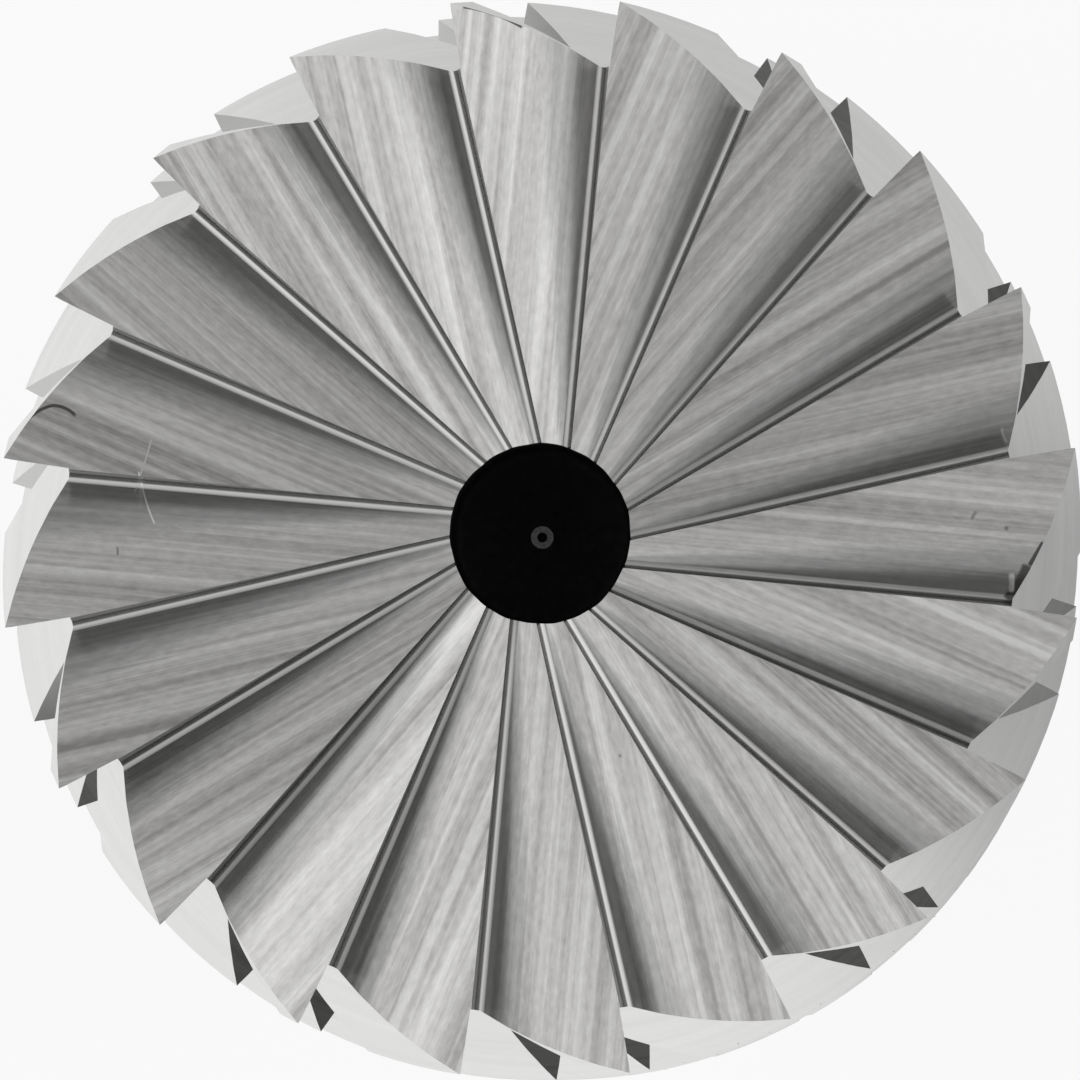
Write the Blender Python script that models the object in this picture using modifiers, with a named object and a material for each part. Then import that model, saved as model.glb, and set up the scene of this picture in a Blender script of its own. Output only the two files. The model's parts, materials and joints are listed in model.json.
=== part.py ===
"""A cylindrical rotary burr with end teeth: a ground carbide head brazed to a plain steel shank.

The burr stands on the end of its shank, with the axis along Z and the end teeth on top. Sizes are
in metres. A bearing is an angle round the axis, clockwise from +Y as seen from above.
"""

import math

import bmesh
import bpy
from mathutils import Matrix, Vector

MM = 0.001
DEGREE = math.radians(1.0)

# Head: the carbide cylinder that everything is ground into
HEAD_DIAMETER = 12.0 * MM
HEAD_LENGTH = 25.0 * MM
REAR_CHAMFER = 1.2 * MM

# Side teeth: a right-hand helix, each with a radial cutting face and a back that falls along a spiral
TEETH = 20
HELIX_ANGLE = 25.0 * DEGREE
GULLET_DEPTH = 0.73 * MM
GULLET_FLOOR = 3.3 * DEGREE
FIRST_TIP = 8.4 * DEGREE

# Chip breakers: left-hand grooves that cross the side teeth, one for each pair of teeth
BREAKERS = TEETH // 2
BREAKER_HELIX = 29.4 * DEGREE
BREAKER_DEPTH = 0.55 * MM
BREAKER_SHALLOW_FLANK = 67.3 * DEGREE
BREAKER_STEEP_FLANK = 24.8 * DEGREE
BREAKER_BOTTOM = 41.9 * DEGREE

# End teeth: one straight groove in front of each side tooth, deeper towards the rim
END_LAND_ANGLE = 17.0 * DEGREE
END_WALL_LEAN = 5.4 * DEGREE
END_ROOT_RADIUS = 0.075 * MM
END_ROOT_OFFSET = 0.242 * MM
END_TOOTH_LEAD = 0.1 * DEGREE

# Centre hole of the pressed blank, a little off the ground axis, with a small pip in its floor
HOLE_DIAMETER = 2.0 * MM
HOLE_DEPTH = 2.0 * MM
HOLE_OFFSET = 0.045 * MM
PIP_DIAMETER = 0.25 * MM
PIP_DEPTH = 0.10 * MM

# Shank and braze
SHANK_DIAMETER = 6.0 * MM
SHANK_LENGTH = 45.0 * MM
FOOT_CHAMFER = 0.3 * MM
BRAZE_THICKNESS = 0.15 * MM
BRAZE_LEG = 0.4 * MM
BRAZE_CLEARANCE = 0.02 * MM
JOINT_CHAMFER = 0.25 * MM

# How finely curves are divided, and how far a cutter runs past what it cuts
BACK_STEPS = 2
SECTION_TURN = 6.0 * DEGREE
ROUND_STEPS = 48
ROOT_STEPS = 3
OVERRUN = 0.3 * MM
GRINDING_STOCK = 0.05 * MM

HEAD_RADIUS = HEAD_DIAMETER / 2
ROOT_RADIUS = HEAD_RADIUS - GULLET_DEPTH
PITCH = 2 * math.pi / TEETH
HEAD_BOTTOM = SHANK_LENGTH
HEAD_TOP = HEAD_BOTTOM + HEAD_LENGTH


def clear_scene():
    for thing in list(bpy.data.objects):
        bpy.data.objects.remove(thing, do_unlink=True)


def new_collection(name, parent=None):
    collection = bpy.data.collections.new(name)
    (parent or bpy.context.scene.collection).children.link(collection)
    return collection


def new_object(name, mesh, collection):
    thing = bpy.data.objects.new(name, mesh)
    collection.objects.link(thing)
    return thing


def finished(name, shape, collection):
    """The object of a mesh that is still being made, with its faces turned outwards."""
    bmesh.ops.recalc_face_normals(shape, faces=shape.faces)
    mesh = bpy.data.meshes.new(name)
    shape.to_mesh(mesh)
    shape.free()
    return new_object(name, mesh, collection)


def principled(name, colour, metallic, roughness):
    material = bpy.data.materials.new(name)
    material.use_nodes = True
    shader = material.node_tree.nodes["Principled BSDF"]
    shader.inputs["Base Color"].default_value = (*colour, 1.0)
    shader.inputs["Metallic"].default_value = metallic
    shader.inputs["Roughness"].default_value = roughness
    return material


def make_cutter(thing):
    thing.hide_render = True
    thing.display_type = "WIRE"


def shade_round(thing, sharp_angle):
    thing.data.shade_smooth()
    thing.data.set_sharp_from_angle(angle=sharp_angle)


def cut_with(thing, cutters):
    """Takes every cutter of a collection out of the object."""
    cut = thing.modifiers.new("cut by " + cutters.name, "BOOLEAN")
    cut.operation = "DIFFERENCE"
    cut.operand_type = "COLLECTION"
    cut.collection = cutters
    cut.solver = "EXACT"


def from_axis(radius, bearing, height=0.0):
    """The point at a radius and height, on a bearing."""
    return Vector((radius * math.sin(bearing), radius * math.cos(bearing), height))


def turned(name, outline, collection, closed=False):
    """A solid of revolution, from (radius, height) points that run down its outer side."""
    mesh = bpy.data.meshes.new(name)
    points = [(radius, 0.0, height) for radius, height in outline]
    edges = [(i, i + 1) for i in range(len(points) - 1)]
    if closed:
        edges.append((len(points) - 1, 0))
    mesh.from_pydata(points, edges, [])
    thing = new_object(name, mesh, collection)
    spin = thing.modifiers.new("turn", "SCREW")
    spin.axis = "Z"
    spin.angle = 2 * math.pi
    spin.steps = ROUND_STEPS
    spin.render_steps = spin.steps
    spin.use_merge_vertices = True
    spin.merge_threshold = 0.001 * MM
    spin.use_smooth_shade = False
    return thing


def twisted(name, outline, top, bottom, turn_per_metre, collection):
    """A bar whose level outline is lowered down the axis while its bearing grows at a steady rate."""
    drop = top - bottom
    turn = turn_per_metre * drop
    steps = max(2, round(abs(turn) / SECTION_TURN))
    shape = bmesh.new()
    face = shape.faces.new([shape.verts.new((point.x, point.y, top)) for point in outline])
    bmesh.ops.spin(
        shape,
        geom=[face, *face.edges, *face.verts],
        cent=(0.0, 0.0, 0.0),
        axis=(0.0, 0.0, -1.0),
        dvec=(0.0, 0.0, -drop / steps),
        angle=turn,
        steps=steps,
        use_merge=False,
        use_duplicate=False,
    )
    warped = [side for side in shape.faces if len(side.verts) == 4]
    bmesh.ops.triangulate(shape, faces=warped, quad_method="ALTERNATE")
    return finished(name, shape, collection)


def toothed_bar(collection):
    """The blank with its side teeth, a little long at the top, where the end teeth are ground next."""
    top = HEAD_TOP + GRINDING_STOCK
    twist = math.tan(HELIX_ANGLE) / HEAD_RADIUS
    back = PITCH - GULLET_FLOOR
    outline = []
    for tooth in range(TEETH):
        tip = FIRST_TIP + tooth * PITCH - twist * GRINDING_STOCK
        for step in range(BACK_STEPS + 1):
            share = step / BACK_STEPS
            outline.append(from_axis(HEAD_RADIUS - share * GULLET_DEPTH, tip + share * back))
        outline.append(from_axis(ROOT_RADIUS, tip + PITCH))
    return twisted("cutting_head", outline, top, HEAD_BOTTOM, twist, collection)


def breaker_wheels(collection):
    """The paths of the wheel that grinds the chip breakers: a leaning V, wound against the teeth."""
    twist = -math.tan(BREAKER_HELIX) / HEAD_RADIUS
    rise = BREAKER_DEPTH + OVERRUN
    for start in range(BREAKERS):
        bearing = BREAKER_BOTTOM + start * 2 * math.pi / BREAKERS - twist * OVERRUN
        outward = from_axis(1.0, bearing)
        across = from_axis(1.0, bearing + math.pi / 2)
        bottom = from_axis(HEAD_RADIUS - BREAKER_DEPTH, bearing)
        outline = [
            bottom,
            bottom + rise * (outward - math.tan(BREAKER_SHALLOW_FLANK) * across),
            bottom + rise * (outward + math.tan(BREAKER_STEEP_FLANK) * across),
        ]
        wheel = twisted(
            f"breaker_wheel_{start + 1:02d}",
            outline,
            HEAD_TOP + OVERRUN,
            HEAD_BOTTOM - OVERRUN,
            twist,
            collection,
        )
        make_cutter(wheel)


def end_root_line():
    """How steeply the root of an end groove falls outwards, and its depth level with the axis.

    Both follow from the ridge between two grooves: one groove's wall and the next groove's land
    have to meet all along in the plane of the head's top.
    """
    land = math.tan(END_LAND_ANGLE)
    lean = math.tan(END_WALL_LEAN)
    sine, cosine = math.sin(PITCH), math.cos(PITCH)
    a, b, c = lean * sine, cosine * (1 + land * lean), -land * sine
    fall = (math.sqrt(b * b - 4 * a * c) - b) / (2 * a)
    rate = land * cosine + fall * sine
    depth = END_ROOT_OFFSET * (land - rate) / (1 + lean * rate)
    return fall, depth


def end_wheel_section(height):
    """The edge of the wheel that grinds the end grooves, as (across, up) points from its sharp corner.

    It runs down the land, round the root fillet and up the wall.
    """
    land_direction = math.pi - END_LAND_ANGLE
    wall_direction = math.pi / 2 - END_WALL_LEAN
    half_angle = (land_direction - wall_direction) / 2
    middle = (land_direction + wall_direction) / 2
    centre = Vector((math.cos(middle), math.sin(middle))) * END_ROOT_RADIUS / math.sin(half_angle)
    start = land_direction + math.pi / 2
    sweep = math.pi - 2 * half_angle
    section = [(height / math.tan(land_direction), height)]
    for step in range(ROOT_STEPS + 1):
        angle = start + sweep * step / ROOT_STEPS
        section.append(
            (
                centre.x + END_ROOT_RADIUS * math.cos(angle),
                centre.y + END_ROOT_RADIUS * math.sin(angle),
            )
        )
    section.append((height / math.tan(wall_direction), height))
    return section


def end_wheels(collection):
    """The paths of the wheel that grinds the end teeth: straight, falling outwards, past the axis."""
    fall, depth = end_root_line()
    lean = math.tan(END_WALL_LEAN)
    ridge_start = END_ROOT_OFFSET + depth * lean
    ridge_turn = math.atan(fall * lean)
    ridge_bearing = ridge_turn + math.asin(ridge_start * math.cos(ridge_turn) / ROOT_RADIUS)
    inner = HOLE_DIAMETER / 4
    outer = HEAD_RADIUS + OVERRUN
    section = end_wheel_section(depth + outer * fall + GRINDING_STOCK + OVERRUN)
    for tooth in range(TEETH):
        shape = bmesh.new()
        root = HEAD_TOP - depth - inner * fall
        corners = [
            shape.verts.new((END_ROOT_OFFSET + across, inner, root + up)) for across, up in section
        ]
        face = shape.faces.new(corners)
        pushed = bmesh.ops.extrude_face_region(shape, geom=[face])
        moved = [item for item in pushed["geom"] if isinstance(item, bmesh.types.BMVert)]
        run = outer - inner
        bmesh.ops.translate(shape, verts=moved, vec=(0.0, run, -run * fall))
        bearing = FIRST_TIP + tooth * PITCH - END_TOOTH_LEAD - ridge_bearing
        bmesh.ops.rotate(shape, verts=shape.verts, matrix=Matrix.Rotation(-bearing, 3, "Z"))
        make_cutter(finished(f"end_wheel_{tooth + 1:02d}", shape, collection))


def hole_pin(collection):
    """The pin that leaves the centre hole in the pressed blank, with its pip."""
    floor = HEAD_TOP - HOLE_DEPTH
    outline = [
        (0.0, HEAD_TOP + OVERRUN),
        (HOLE_DIAMETER / 2, HEAD_TOP + OVERRUN),
        (HOLE_DIAMETER / 2, floor),
        (PIP_DIAMETER / 2, floor),
        (0.0, floor - PIP_DEPTH),
    ]
    pin = turned("hole_pin", outline, collection)
    pin.location = (0.0, HOLE_OFFSET, 0.0)
    make_cutter(pin)


def chamfer_ring(collection):
    """The ring that bevels the back of the head, where the side teeth run out."""
    inner = HEAD_RADIUS - REAR_CHAMFER - OVERRUN
    outer = HEAD_RADIUS + OVERRUN
    outline = [
        (outer, HEAD_BOTTOM + REAR_CHAMFER + OVERRUN),
        (outer, HEAD_BOTTOM - OVERRUN),
        (inner, HEAD_BOTTOM - OVERRUN),
    ]
    make_cutter(turned("chamfer_ring", outline, collection, closed=True))


def make_head(parts, cutters):
    head = toothed_bar(parts)
    for name, fill in (
        ("breaker_wheels", breaker_wheels),
        ("end_wheels", end_wheels),
        ("blank_shape", lambda group: (hole_pin(group), chamfer_ring(group))),
    ):
        group = new_collection(name, cutters)
        fill(group)
        cut_with(head, group)
    head.data.materials.append(principled("tungsten_carbide", (0.50, 0.49, 0.475), 1.0, 0.30))
    return head


def make_shank(parts):
    """Plain ground steel, bevelled at the foot, and at the top where the braze runs in."""
    radius = SHANK_DIAMETER / 2
    top = HEAD_BOTTOM - BRAZE_THICKNESS
    outline = [
        (0.0, top),
        (radius - JOINT_CHAMFER, top),
        (radius, top - JOINT_CHAMFER),
        (radius, FOOT_CHAMFER),
        (radius - FOOT_CHAMFER, 0.0),
        (0.0, 0.0),
    ]
    shank = turned("shank", outline, parts)
    shade_round(shank, 30 * DEGREE)
    shank.data.materials.append(principled("shank_steel", (0.58, 0.58, 0.57), 1.0, 0.25))
    return shank


def make_braze(parts):
    """The solder between shank and head, which fills the shank's bevel and ends in a hollow fillet."""
    radius = SHANK_DIAMETER / 2
    bottom = HEAD_BOTTOM - BRAZE_THICKNESS
    lip = (radius + BRAZE_CLEARANCE, bottom - JOINT_CHAMFER)
    rise = HEAD_BOTTOM - lip[1]
    outline = [(0.0, HEAD_BOTTOM)]
    for step in range(ROOT_STEPS + 2):
        angle = math.pi / 2 * step / (ROOT_STEPS + 1)
        outline.append(
            (
                lip[0] + BRAZE_LEG * (1 - math.sin(angle)),
                lip[1] + rise * math.cos(angle),
            )
        )
    outline.append((radius - JOINT_CHAMFER + BRAZE_CLEARANCE, bottom))
    outline.append((0.0, bottom))
    braze = turned("braze_seam", outline, parts)
    shade_round(braze, 30 * DEGREE)
    braze.data.materials.append(principled("silver_braze", (0.66, 0.58, 0.40), 1.0, 0.35))
    return braze


def main():
    clear_scene()
    parts = new_collection("rotary_burr")
    cutters = new_collection("cutters")
    make_head(parts, cutters)
    make_shank(parts)
    make_braze(parts)


main()
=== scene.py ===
"""The looks of the rotary burr: ground carbide head, solder and steel shank.

It stands on a pale floor under a light tent.
"""

import json
import math

import bmesh
import bpy
from mathutils import Matrix, Vector

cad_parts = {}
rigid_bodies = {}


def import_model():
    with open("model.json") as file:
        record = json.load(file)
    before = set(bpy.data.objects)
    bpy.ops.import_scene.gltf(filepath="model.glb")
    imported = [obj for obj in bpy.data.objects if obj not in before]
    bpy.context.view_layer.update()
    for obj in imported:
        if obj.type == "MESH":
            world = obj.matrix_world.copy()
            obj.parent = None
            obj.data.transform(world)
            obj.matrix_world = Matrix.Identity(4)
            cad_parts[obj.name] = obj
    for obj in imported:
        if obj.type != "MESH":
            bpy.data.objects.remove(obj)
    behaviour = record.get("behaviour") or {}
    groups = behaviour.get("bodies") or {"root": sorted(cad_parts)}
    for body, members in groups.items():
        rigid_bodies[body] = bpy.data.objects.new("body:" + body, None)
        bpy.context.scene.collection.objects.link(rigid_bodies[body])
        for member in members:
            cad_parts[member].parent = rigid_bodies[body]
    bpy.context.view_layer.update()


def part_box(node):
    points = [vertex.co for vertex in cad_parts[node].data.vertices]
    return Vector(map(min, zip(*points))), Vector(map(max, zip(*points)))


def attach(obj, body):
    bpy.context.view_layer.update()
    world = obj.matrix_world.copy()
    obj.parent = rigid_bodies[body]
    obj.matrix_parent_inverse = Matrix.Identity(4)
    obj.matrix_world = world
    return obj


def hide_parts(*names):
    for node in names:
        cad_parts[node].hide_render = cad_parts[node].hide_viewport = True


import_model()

MM = 0.001
DEGREE = math.radians(1.0)

# Sizes of the head, as in the part's source
HEAD_LOW, HEAD_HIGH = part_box("cutting_head")
HEAD_RADIUS = 6.0 * MM
HEAD_TOP = HEAD_HIGH.z
HEAD_BOTTOM = HEAD_LOW.z
REAR_CHAMFER = 1.2 * MM
TEETH = 20
HELIX_ANGLE = 25.0 * DEGREE
GULLET_DEPTH = 0.73 * MM
GULLET_FLOOR = 3.3 * DEGREE
FIRST_TIP = 8.4 * DEGREE
BREAKERS = TEETH // 2
BREAKER_HELIX = 29.4 * DEGREE
BREAKER_DEPTH = 0.55 * MM
BREAKER_SHALLOW_FLANK = 67.3 * DEGREE
BREAKER_STEEP_FLANK = 24.8 * DEGREE
BREAKER_BOTTOM = 41.9 * DEGREE
END_LAND_ANGLE = 17.0 * DEGREE
END_WALL_LEAN = 5.4 * DEGREE
END_ROOT_RADIUS = 0.075 * MM
END_ROOT_OFFSET = 0.242 * MM
END_TOOTH_LEAD = 0.1 * DEGREE
HOLE_DIAMETER = 2.0 * MM
HOLE_DEPTH = 2.0 * MM
HOLE_OFFSET = 0.045 * MM
PIP_DIAMETER = 0.25 * MM
PIP_DEPTH = 0.10 * MM
ROOT_RADIUS = HEAD_RADIUS - GULLET_DEPTH
PITCH = 2 * math.pi / TEETH
TWIST = math.tan(HELIX_ANGLE) / HEAD_RADIUS
BREAKER_TWIST = -math.tan(BREAKER_HELIX) / HEAD_RADIUS

# Sizes of the shank and the solder, as in the part's source
SHANK_RADIUS = 3.0 * MM
SHANK_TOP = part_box("shank")[1].z
FOOT_CHAMFER = 0.3 * MM
BRAZE_LEG = 0.4 * MM
BRAZE_CLEARANCE = 0.02 * MM
JOINT_CHAMFER = 0.25 * MM

# Small forms that the source leaves out. PIP_BOTTOM is a radius. A set of waves is, for each wave,
# a strength, how many fit round the axis and an angle to start from.
HOLE_FILLET = 0.12 * MM
HOLE_WAVER = 0.009 * MM
HOLE_WAVES = ((1.0, 5, 1.1), (0.7, 11, 0.4), (0.5, 23, 2.0))
PIP_BORE = 0.11 * MM
PIP_RIM_FALL = 0.012 * MM
PIP_BOTTOM = PIP_BORE / 3
FOOT_ROUNDING = 0.06 * MM
BRAZE_WAVER = 0.22
BRAZE_WAVES = ((0.25, 3, 0.7), (0.25, 7, 2.1))

# How finely the shown meshes are divided
BACK_STEPS = 4
SECTION_TURN = 2.5 * DEGREE
ROUND_STEPS = 160
ROOT_STEPS = 8
HOLE_FILLET_STEPS = 6
BRAZE_STEPS = 12
ROUNDING_STEPS = 4
SMOOTH_BELOW = 30 * DEGREE
OVERRUN = 0.3 * MM
GRINDING_STOCK = 0.05 * MM
# A distance that counts as none
HAIR = 0.001 * MM


def new_collection(name):
    collection = bpy.data.collections.new(name)
    bpy.context.scene.collection.children.link(collection)
    return collection


def new_object(name, mesh, collection=None):
    thing = bpy.data.objects.new(name, mesh)
    (collection or bpy.context.scene.collection).objects.link(thing)
    return thing


def finished(name, shape, collection=None):
    bmesh.ops.recalc_face_normals(shape, faces=shape.faces)
    mesh = bpy.data.meshes.new(name)
    shape.to_mesh(mesh)
    shape.free()
    return new_object(name, mesh, collection)


def from_axis(radius, bearing, height=0.0):
    """A point at a radius and at a bearing, which counts clockwise from +Y seen from above."""
    return Vector((radius * math.sin(bearing), radius * math.cos(bearing), height))


def bearing_of(point):
    return math.atan2(point.x, point.y)


def wave_round(bearing, waves):
    """The sum of a set of waves at a bearing."""
    return sum(strength * math.sin(count * bearing + start) for strength, count, start in waves)


def turned(name, outline, collection=None, closed=False):
    """A solid of revolution, made from (radius, height) points."""
    shape = bmesh.new()
    rings = []
    for radius, height in outline:
        if radius == 0.0:
            rings.append([shape.verts.new((0.0, 0.0, height))])
            continue
        ring = []
        for step in range(ROUND_STEPS):
            bearing = 2 * math.pi * step / ROUND_STEPS
            ring.append(shape.verts.new(from_axis(radius, bearing, height)))
        rings.append(ring)
    pairs = list(zip(rings, rings[1:]))
    if closed:
        pairs.append((rings[-1], rings[0]))
    for upper, lower in pairs:
        for step in range(ROUND_STEPS):
            after = (step + 1) % ROUND_STEPS
            if len(upper) == 1:
                shape.faces.new((upper[0], lower[after], lower[step]))
            elif len(lower) == 1:
                shape.faces.new((upper[step], upper[after], lower[0]))
            else:
                shape.faces.new((upper[step], upper[after], lower[after], lower[step]))
    return finished(name, shape, collection)


def twisted(name, outline, top, bottom, turn_per_metre, collection=None):
    """A bar whose level outline is lowered down the axis while its bearing grows at a steady rate."""
    drop = top - bottom
    turn = turn_per_metre * drop
    steps = max(2, round(abs(turn) / SECTION_TURN))
    shape = bmesh.new()
    face = shape.faces.new([shape.verts.new((point.x, point.y, top)) for point in outline])
    bmesh.ops.spin(
        shape,
        geom=[face, *face.edges, *face.verts],
        cent=(0.0, 0.0, 0.0),
        axis=(0.0, 0.0, -1.0),
        dvec=(0.0, 0.0, -drop / steps),
        angle=turn,
        steps=steps,
        use_merge=False,
        use_duplicate=False,
    )
    warped = [side for side in shape.faces if len(side.verts) == 4]
    bmesh.ops.triangulate(shape, faces=warped, quad_method="ALTERNATE")
    return finished(name, shape, collection)


def toothed_bar():
    top = HEAD_TOP + GRINDING_STOCK
    back = PITCH - GULLET_FLOOR
    outline = []
    for tooth in range(TEETH):
        tip = FIRST_TIP + tooth * PITCH - TWIST * GRINDING_STOCK
        for step in range(BACK_STEPS + 1):
            share = step / BACK_STEPS
            outline.append(from_axis(HEAD_RADIUS - share * GULLET_DEPTH, tip + share * back))
        outline.append(from_axis(ROOT_RADIUS, tip + PITCH))
    return twisted("cutting_head_ground", outline, top, HEAD_BOTTOM, TWIST)


def breaker_wheels(collection):
    rise = BREAKER_DEPTH + OVERRUN
    top = HEAD_TOP + OVERRUN
    low = HEAD_BOTTOM - OVERRUN
    for start in range(BREAKERS):
        bearing = BREAKER_BOTTOM + start * 2 * math.pi / BREAKERS - BREAKER_TWIST * OVERRUN
        outward = from_axis(1.0, bearing)
        across = from_axis(1.0, bearing + math.pi / 2)
        bottom = from_axis(HEAD_RADIUS - BREAKER_DEPTH, bearing)
        outline = [
            bottom,
            bottom + rise * (outward - math.tan(BREAKER_SHALLOW_FLANK) * across),
            bottom + rise * (outward + math.tan(BREAKER_STEEP_FLANK) * across),
        ]
        twisted(f"breaker_wheel_{start + 1:02d}", outline, top, low, BREAKER_TWIST, collection)


def end_root_line():
    """How steeply the root of an end groove falls outwards, and its depth level with the axis."""
    land = math.tan(END_LAND_ANGLE)
    lean = math.tan(END_WALL_LEAN)
    sine, cosine = math.sin(PITCH), math.cos(PITCH)
    a, b, c = lean * sine, cosine * (1 + land * lean), -land * sine
    fall = (math.sqrt(b * b - 4 * a * c) - b) / (2 * a)
    rate = land * cosine + fall * sine
    depth = END_ROOT_OFFSET * (land - rate) / (1 + lean * rate)
    return fall, depth


END_FALL, END_DEPTH = end_root_line()


def first_groove_bearing():
    """The bearing of groove 0, whose ridge meets the first tip with a small lead."""
    lean = math.tan(END_WALL_LEAN)
    ridge_start = END_ROOT_OFFSET + END_DEPTH * lean
    ridge_turn = math.atan(END_FALL * lean)
    ridge_bearing = ridge_turn + math.asin(ridge_start * math.cos(ridge_turn) / ROOT_RADIUS)
    return FIRST_TIP - END_TOOTH_LEAD - ridge_bearing


GROOVE_BEARING = first_groove_bearing()
LAND_DIRECTION = math.pi - END_LAND_ANGLE
WALL_DIRECTION = math.pi / 2 - END_WALL_LEAN
HALF_GROOVE = (LAND_DIRECTION - WALL_DIRECTION) / 2
GROOVE_MIDDLE = (LAND_DIRECTION + WALL_DIRECTION) / 2
FILLET_CENTRE = (
    Vector((math.cos(GROOVE_MIDDLE), math.sin(GROOVE_MIDDLE)))
    * END_ROOT_RADIUS
    / math.sin(HALF_GROOVE)
)


def end_wheel_section(height):
    """The section of an end groove from its root up to a height: land, root fillet and wall."""
    start = LAND_DIRECTION + math.pi / 2
    sweep = math.pi - 2 * HALF_GROOVE
    section = [(height / math.tan(LAND_DIRECTION), height)]
    for step in range(ROOT_STEPS + 1):
        angle = start + sweep * step / ROOT_STEPS
        across = FILLET_CENTRE.x + END_ROOT_RADIUS * math.cos(angle)
        up = FILLET_CENTRE.y + END_ROOT_RADIUS * math.sin(angle)
        section.append((across, up))
    section.append((height / math.tan(WALL_DIRECTION), height))
    return section


def end_wheels(collection):
    inner = HOLE_DIAMETER / 4
    outer = HEAD_RADIUS + OVERRUN
    run = outer - inner
    root = HEAD_TOP - END_DEPTH - inner * END_FALL
    section = end_wheel_section(END_DEPTH + outer * END_FALL + GRINDING_STOCK + OVERRUN)
    for tooth in range(TEETH):
        shape = bmesh.new()
        corners = [
            shape.verts.new((END_ROOT_OFFSET + across, inner, root + up)) for across, up in section
        ]
        face = shape.faces.new(corners)
        pushed = bmesh.ops.extrude_face_region(shape, geom=[face])
        moved = [item for item in pushed["geom"] if isinstance(item, bmesh.types.BMVert)]
        bmesh.ops.translate(shape, verts=moved, vec=(0.0, run, -run * END_FALL))
        bearing = GROOVE_BEARING + tooth * PITCH
        bmesh.ops.rotate(shape, verts=shape.verts, matrix=Matrix.Rotation(-bearing, 3, "Z"))
        finished(f"end_wheel_{tooth + 1:02d}", shape, collection)


def hole_pin(collection):
    """The shape of the blind hole, with a rounded corner, a wavering wall and the pip's ring."""
    floor = HEAD_TOP - HOLE_DEPTH
    radius = HOLE_DIAMETER / 2
    outline = [(0.0, HEAD_TOP + OVERRUN), (radius, HEAD_TOP + OVERRUN)]
    for step in range(HOLE_FILLET_STEPS + 1):
        angle = math.pi / 2 * step / HOLE_FILLET_STEPS
        inward = HOLE_FILLET * (1 - math.cos(angle))
        up = HOLE_FILLET * (1 - math.sin(angle))
        outline.append((radius - inward, floor + up))
    outline.append((PIP_DIAMETER / 2, floor))
    outline.append((PIP_BORE / 2, floor - PIP_RIM_FALL))
    outline.append((PIP_BOTTOM, floor - PIP_DEPTH))
    outline.append((0.0, floor - PIP_DEPTH))
    pin = turned("hole_pin", outline, collection)
    for vertex in pin.data.vertices:
        if math.hypot(vertex.co.x, vertex.co.y) > PIP_DIAMETER:
            bearing = bearing_of(vertex.co)
            waver = HOLE_WAVER * wave_round(bearing, HOLE_WAVES) / 2
            vertex.co += from_axis(waver, bearing)
    pin.location = (0.0, HOLE_OFFSET, 0.0)


def chamfer_ring(collection):
    inner = HEAD_RADIUS - REAR_CHAMFER - OVERRUN
    outer = HEAD_RADIUS + OVERRUN
    outline = [
        (outer, HEAD_BOTTOM + REAR_CHAMFER + OVERRUN),
        (outer, HEAD_BOTTOM - OVERRUN),
        (inner, HEAD_BOTTOM - OVERRUN),
    ]
    turned("chamfer_ring", outline, collection, closed=True)


def ground_head():
    """The head's mesh after every wheel has passed."""
    head = toothed_bar()
    groups = []
    for name, fills in (
        ("breaker_wheels", (breaker_wheels,)),
        ("end_wheels", (end_wheels,)),
        ("blank_shape", (hole_pin, chamfer_ring)),
    ):
        group = new_collection(name)
        for fill in fills:
            fill(group)
        cut = head.modifiers.new(name, "BOOLEAN")
        cut.operation = "DIFFERENCE"
        cut.operand_type = "COLLECTION"
        cut.collection = group
        cut.solver = "EXACT"
        groups.append(group)
    graph = bpy.context.evaluated_depsgraph_get()
    mesh = bpy.data.meshes.new_from_object(head.evaluated_get(graph))
    bpy.data.objects.remove(head, do_unlink=True)
    for group in groups:
        for wheel in list(group.objects):
            bpy.data.objects.remove(wheel, do_unlink=True)
        bpy.data.collections.remove(group)
    mesh.name = "cutting_head_ground"
    return new_object("cutting_head_ground", mesh)


# Surfaces of the head: each has its own way of carrying the grinding lines
LAND, WALL, ROOT, FILLET, BACK, FACE, SHALLOW, STEEP, CHAMFER, REAR, HOLE, PIP = range(12)
END_GRIND, ROOT_GRIND, WALL_GRIND, SIDE_GRIND, BREAKER_GRIND, SINTERED, PRESSED = range(7)
MATERIAL_OF = {
    LAND: END_GRIND,
    FILLET: ROOT_GRIND,
    ROOT: WALL_GRIND,
    WALL: WALL_GRIND,
    STEEP: BREAKER_GRIND,
    HOLE: SINTERED,
    PIP: PRESSED,
}

# How close a face has to be to a surface to belong to it: the cosine between their normals, how
# much its normal rises, the distance between them, and a share of the pitch for a cutting face.
# The last two are how far below the top the hole and the end grooves reach at most.
SAME_PLANE = 0.99999
SAME_BACK = 0.985
LOOKS_DOWN = -0.99
BEVEL_LOOKS_DOWN = -0.6
UPRIGHT = 0.02
ON_PLANE = 0.002 * MM
ON_FILLET = 0.004 * MM
ON_GULLET = 0.01 * MM
ON_BEVEL = 0.02 * MM
ON_CUTTING_FACE = 0.01
HOLE_REACH = HOLE_DEPTH + 1.0 * MM
GROOVE_REACH = 1.5 * MM

# The shading of an end groove. A land is crowned towards its root, by at most END_LAND_CROWN, and
# keeps END_LAND_SAG of its fall outwards. The fillet's facets are FILLET up to ROOT_TURN, where
# their normals go from the first to the last of SHADED_TURNS, and ROOT beyond it, where a normal
# leans by SHADED_ROOT or more.
END_LAND_CROWN = 6.0 * DEGREE
END_LAND_SAG = 0.25
LEAST_LAND_WIDTH = 0.2 * MM
ROOT_TURN = 38.0 * DEGREE
SHADED_TURNS = (8.0 * DEGREE, 34.0 * DEGREE)
SHADED_ROOT = 55.0 * DEGREE

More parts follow.
